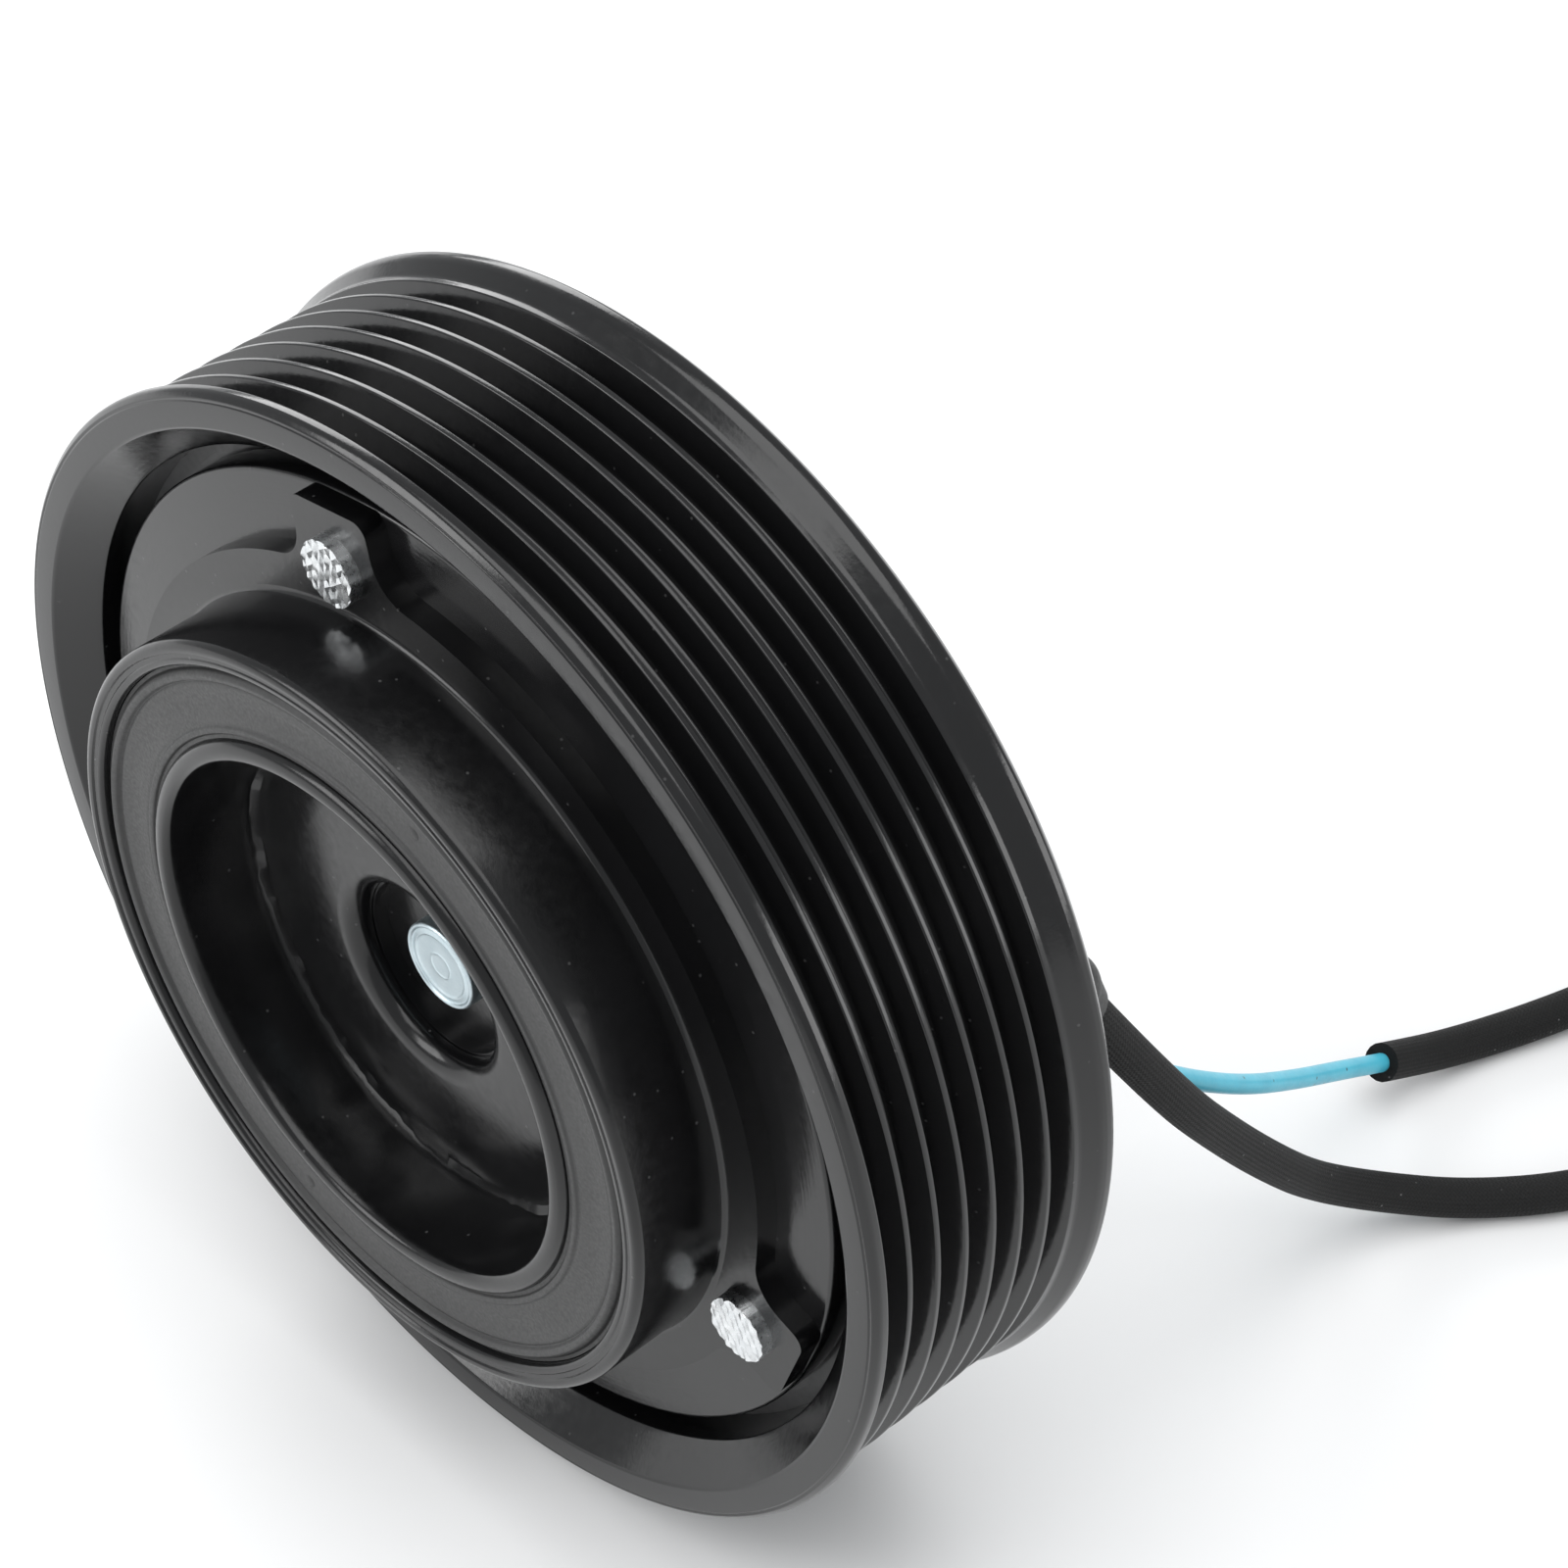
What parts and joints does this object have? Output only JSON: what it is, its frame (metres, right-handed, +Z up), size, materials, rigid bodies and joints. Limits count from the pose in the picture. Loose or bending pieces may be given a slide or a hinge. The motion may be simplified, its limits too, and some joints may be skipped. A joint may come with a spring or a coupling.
{
  "type": "electromagnetic clutch",
  "caption": "Electromagnetic clutch with a poly-V belt pulley on a ball bearing, a rubber-damped hub and armature, and a field coil with sleeved leads.",
  "frame": {"origin": "centre of the pulley bearing's bore, where the clutch sits on the compressor's nose", "axes": "+Y along the axis of rotation towards the compressor, -Y out of the hub's front, +Z up"},
  "size_m": [0.1397, 0.1643, 0.1258],
  "materials": {
    "coil_coat": "satin black coat",
    "bobbin_plastic": "satin",
    "copper_winding": "enamelled",
    "potting_resin": "cast resin",
    "zinc_plate": "zinc plated",
    "spring_steel": "phosphated",
    "bearing_steel": "ground",
    "cage_plastic": "satin",
    "seal_rubber": "matte",
    "grommet_rubber": "matte",
    "wire_insulation": "satin",
    "woven_sleeve": "woven, varnished",
    "connector_plastic": "moulded",
    "tinned_terminal": "tinned",
    "pulley_coat": "gloss black coat",
    "rotor_coat": "black coat",
    "hub_coat": "gloss black coat",
    "bolt_zinc": "zinc plated",
    "shim_steel": "rolled",
    "damper_rubber": "matte",
    "armature_coat": "satin black coat",
    "rivet_zinc": "knurled, zinc plated"
  },
  "bodies": {
    "field_coil": {"coil_housing": "coil_coat", "coil_bobbin": "bobbin_plastic", "coil_winding": "copper_winding", "coil_potting": "potting_resin", "coil_mounting_plate": "zinc_plate", "coil_snap_ring": "spring_steel", "pulley_snap_ring": "spring_steel", "bearing_inner_ring": "bearing_steel", "lead_grommet": "grommet_rubber", "lead_a_wire": "wire_insulation", "lead_a_sleeve": "woven_sleeve", "connector_a_housing": "connector_plastic", "connector_a_terminal": "tinned_terminal", "lead_b_wire": "wire_insulation", "lead_b_sleeve": "woven_sleeve", "connector_b_housing": "connector_plastic", "connector_b_terminal": "tinned_terminal"},
    "pulley": {"pulley_rim": "pulley_coat", "rotor": "rotor_coat", "bearing_outer_ring": "bearing_steel", "bearing_retaining_ring": "spring_steel", "bearing_seal_front": "seal_rubber", "bearing_seal_rear": "seal_rubber"},
    "ball_set": {"bearing_balls": "bearing_steel", "bearing_cage_front": "cage_plastic", "bearing_cage_rear": "cage_plastic"},
    "hub": {"inner_cup": "hub_coat", "hub_boss": "hub_coat", "centre_bolt": "bolt_zinc", "air_gap_shims": "shim_steel", "rubber_damper": "damper_rubber"},
    "armature": {"armature_plate": "armature_coat", "outer_collar": "hub_coat", "collar_rivets": "rivet_zinc"}
  },
  "joints": [
    {"name": "pulley_spin", "type": "hinge", "parent": "field_coil", "child": "pulley", "pos_m": [0, 0, 0], "axis": [0, 1, 0], "continuous": true},
    {"name": "ball_orbit", "type": "hinge", "parent": "field_coil", "child": "ball_set", "pos_m": [0, 0, 0], "axis": [0, 1, 0], "continuous": true},
    {"name": "hub_spin", "type": "hinge", "parent": "field_coil", "child": "hub", "pos_m": [0, 0, 0], "axis": [0, 1, 0], "continuous": true},
    {"name": "armature_pull", "type": "slide", "parent": "hub", "child": "armature", "axis": [0, 1, 0], "range_m": [0, 0.0005], "stiffness_N_per_m": 30000}
  ],
  "couplings": [
    {"joint": "ball_orbit", "follows": "pulley_spin", "ratio": 0.5548}
  ]
}
